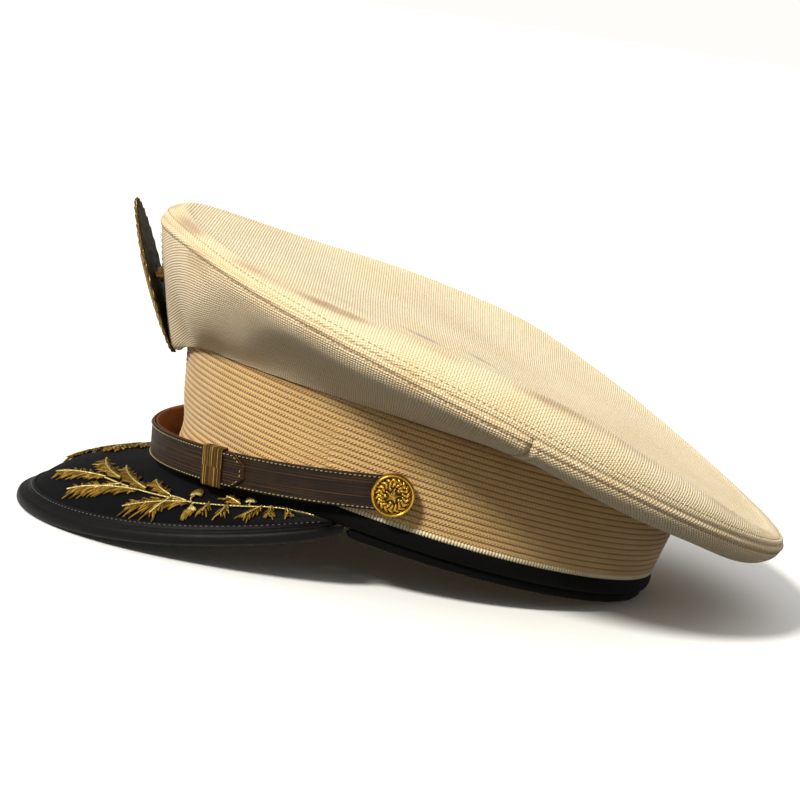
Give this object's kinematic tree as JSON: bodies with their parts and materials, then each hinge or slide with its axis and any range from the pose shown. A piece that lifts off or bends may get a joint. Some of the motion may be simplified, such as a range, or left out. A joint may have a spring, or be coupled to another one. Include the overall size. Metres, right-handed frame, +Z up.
{
  "type": "military peaked cap",
  "caption": "Peaked cap with a tilted light crown on a hoop, a ribbed braid band, a black visor with gilt leaf embroidery, a swinging chin strap and a gilt front badge.",
  "frame": {"origin": "On the floor under the middle of the bounding box, with the cap standing on the visor's rim and the back of the band", "axes": "-Y is the front, where the visor is; +X is the wearer's left; +Z is up from the floor. The band is tipped forward by about 9.5 degrees in this pose."},
  "size_m": [0.262, 0.3182, 0.1314],
  "materials": {
    "crown_cloth": "coarse linen twill, aged",
    "braid": "ribbed mohair braid",
    "lining_cloth": "plain satin weave",
    "pale_cord": "ribbed cord",
    "visor_black": "close wool cloth",
    "bullion": "antique gold wire and lace",
    "strap_lace": "tarnished gold lace on leather",
    "black_leather": "smooth, satin",
    "tan_leather": "smooth, worn",
    "green_leather": "matte",
    "stiffener": "pressed board",
    "clear_film": "aged clear film",
    "stay_steel": "spring steel in tape",
    "hoop_steel": "spring wire",
    "gilt_brass": "aged gilt",
    "old_bronze": "dark antique"
  },
  "bodies": {
    "cap": {"band_core": "stiffener", "band_braid": "braid", "band_lining": "lining_cloth", "edge_cord": "pale_cord", "welt_upper": "black_leather", "welt_lower": "black_leather", "sweatband": "tan_leather", "sweatband_reed": "pale_cord", "sweatband_bow": "lining_cloth", "front_stay": "stay_steel", "crown_top": "crown_cloth", "quarter_front_left": "crown_cloth", "quarter_front_right": "crown_cloth", "quarter_rear_left": "crown_cloth", "quarter_rear_right": "crown_cloth", "crown_hoop": "hoop_steel", "hoop_ferrule": "gilt_brass", "crown_lining": "lining_cloth", "moisture_shield": "clear_film", "visor_board": "stiffener", "visor_cloth": "visor_black", "visor_lining": "green_leather", "visor_rim": "black_leather", "bullion_left": "bullion", "bullion_right": "bullion", "button_left": "gilt_brass", "button_right": "gilt_brass", "button_nuts": "gilt_brass", "badge_plate": "old_bronze", "badge_wreath": "old_bronze", "badge_shield": "old_bronze", "badge_post": "gilt_brass", "badge_eyelet": "gilt_brass", "badge_nut": "gilt_brass"},
    "chin_strap": {"strap_left": "strap_lace", "strap_right": "strap_lace"},
    "left_keeper": {"keeper_left": "bullion"},
    "right_keeper": {"keeper_right": "bullion"}
  },
  "joints": [
    {"name": "strap_swing", "type": "hinge", "parent": "cap", "child": "chin_strap", "pos_m": [0, -0.00633, 0.04203], "axis": [-1, 0, 0], "range_deg": [-0.4, 15]},
    {"name": "left_keeper_slide", "type": "hinge", "parent": "chin_strap", "child": "left_keeper", "pos_m": [-0.01889, -0.00633, 0.04203], "axis": [0, -0.0703, 0.9975], "range_deg": [-12, 30]},
    {"name": "right_keeper_slide", "type": "hinge", "parent": "chin_strap", "child": "right_keeper", "pos_m": [0.01889, -0.00633, 0.04203], "axis": [0, 0.0703, -0.9975], "range_deg": [-12, 30]}
  ]
}
